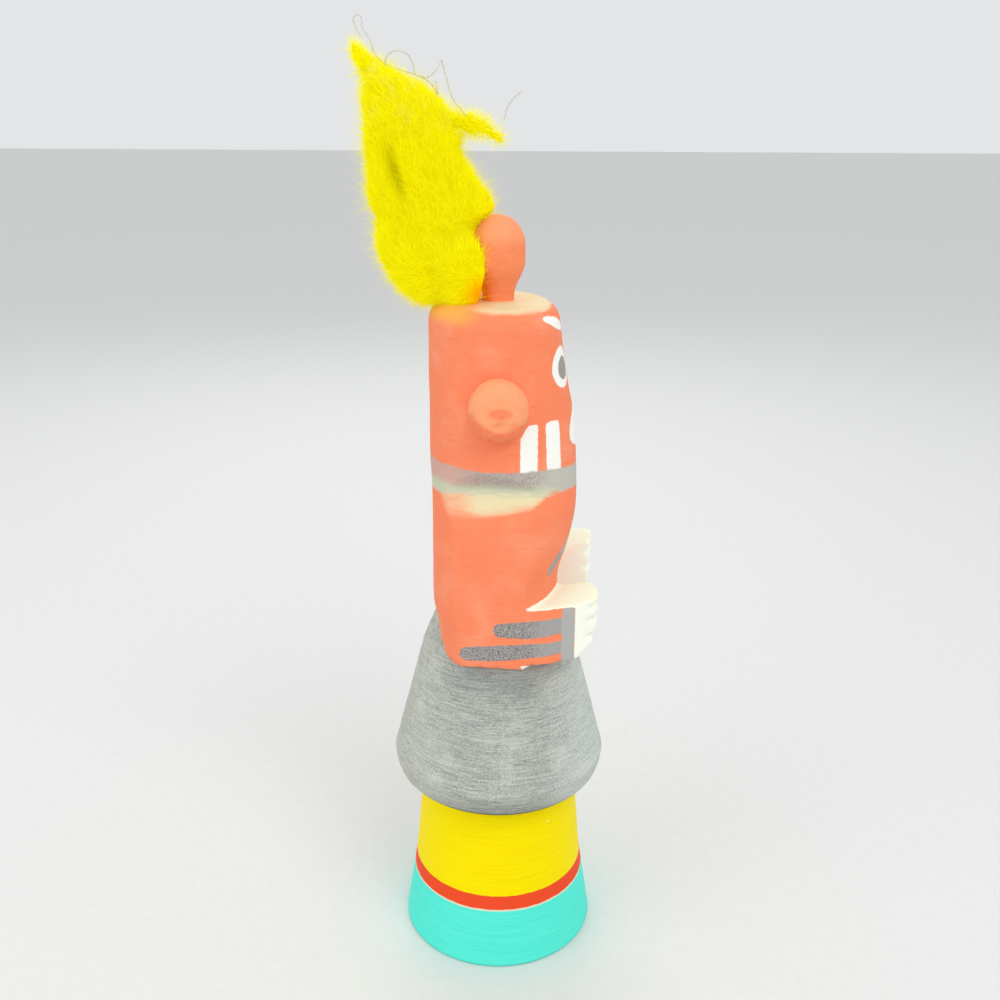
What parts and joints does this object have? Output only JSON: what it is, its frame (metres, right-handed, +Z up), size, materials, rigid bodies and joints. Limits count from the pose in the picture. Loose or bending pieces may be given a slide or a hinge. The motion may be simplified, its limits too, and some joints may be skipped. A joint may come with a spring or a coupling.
{
  "type": "painted wooden kachina doll",
  "caption": "Small standing painted wooden doll on a turned base, with a bell skirt, folded forearms, round knobs and a fluffy yellow plume.",
  "frame": {"origin": "centre of the flat underside, on the lathe axis", "axes": "+Z up along the lathe axis, the doll faces -Y and its own right hand is at -X"},
  "size_m": [0.049, 0.0542, 0.2026],
  "materials": {
    "painted_wood": "brush-painted turned and carved wood, matt to satin: coral head and trunk, grey-black skirt and bands, white hands and face marks, yellow, red and turquoise base",
    "painted_knob": "coral brush paint on small turned knobs, satin",
    "dyed_fluff": "fine fluffy down dyed bright yellow"
  },
  "bodies": {
    "root": {"body": "painted_wood", "topknot": "painted_knob", "ear_right": "painted_knob", "ear_left": "painted_knob", "plume": "dyed_fluff"}
  },
  "joints": []
}
